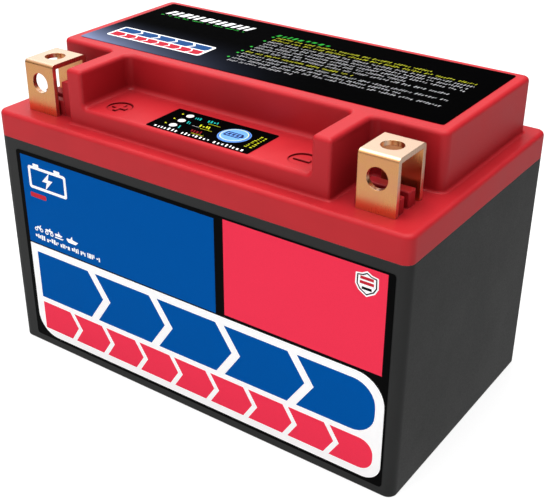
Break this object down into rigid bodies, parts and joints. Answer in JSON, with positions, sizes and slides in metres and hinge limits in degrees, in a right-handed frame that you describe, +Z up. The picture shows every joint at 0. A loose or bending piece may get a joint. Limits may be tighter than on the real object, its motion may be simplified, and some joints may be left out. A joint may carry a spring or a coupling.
{
  "type": "motorcycle battery",
  "caption": "Sealed lithium motorcycle battery: dark case, red lid with front recess and press-to-test charge indicator, U-shaped bolt-on terminals at the front corners.",
  "frame": {"origin": "centre of the case's underside", "axes": "+X along the length towards the negative terminal, +Y from the terminal side to the back, +Z up"},
  "size_m": [0.15, 0.0872, 0.1032],
  "materials": {
    "case": "satin",
    "lid": "satin",
    "terminal": "satin",
    "label_front": "gloss",
    "label_top": "gloss",
    "label_indicator": "satin",
    "button": "satin",
    "light_window": "satin",
    "adhesive": "gloss",
    "pouch": "satin",
    "foam": "matte",
    "strap": "satin",
    "tab_aluminium": "satin",
    "tab_nickel": "satin",
    "copper": "satin",
    "plate": "satin",
    "paper_sheet": "matte",
    "board": "gloss",
    "tinned": "satin",
    "steel": "satin",
    "brass_post": "satin",
    "silicone_red": "satin",
    "silicone_black": "satin",
    "thin_wire": "satin",
    "chip": "satin",
    "connector": "satin",
    "switch": "satin",
    "switch_stem": "satin",
    "rubber": "matte",
    "led": "gloss"
  },
  "bodies": {
    "battery": {"balance_board": "board", "balance_chips": "chip", "balance_plug": "connector", "balance_socket": "connector", "balance_wires": "thin_wire", "bleed_resistors": "chip", "board_screws": "steel", "board_standoffs": "brass_post", "bottom_pad": "foam", "case_tub": "case", "cell_1": "pouch", "cell_2": "pouch", "cell_3": "pouch", "cell_4": "pouch", "cell_spacer_pads": "foam", "end_foam_pads": "foam", "front_foam_block": "foam", "front_label": "label_front", "indicator_board": "board", "indicator_label": "label_indicator", "indicator_leds": "led", "indicator_screws": "steel", "indicator_socket": "connector", "indicator_wires": "thin_wire", "insulation_sheet": "paper_sheet", "lid": "lid", "lid_seal_bead": "adhesive", "light_pipes": "light_window", "lug_nuts": "steel", "lug_screws": "steel", "lug_spring_washers": "steel", "negative_collector": "copper", "negative_lead": "silicone_black", "negative_lug": "tinned", "negative_tabs": "tab_nickel", "negative_terminal": "terminal", "pack_strap": "strap", "positive_collector": "copper", "positive_lead": "silicone_red", "positive_lug": "tinned", "positive_tabs": "tab_aluminium", "positive_terminal": "terminal", "rear_foam_block": "foam", "series_links": "copper", "switch_body": "switch", "switch_dome": "steel", "switch_legs": "tinned", "tab_plate": "plate", "terminal_seals": "rubber", "top_label": "label_top"},
    "button": {"test_button": "button"},
    "plunger": {"switch_plunger": "switch_stem"}
  },
  "joints": [
    {"name": "button_press", "type": "slide", "parent": "battery", "child": "button", "axis": [0, 0, -1], "range_m": [0, 0.00025]},
    {"name": "plunger_press", "type": "slide", "parent": "battery", "child": "plunger", "axis": [0, 0, -1], "range_m": [0, 0.00025], "deforming": ["switch_dome"]}
  ],
  "couplings": [
    {"joint": "plunger_press", "follows": "button_press", "ratio": 1}
  ]
}
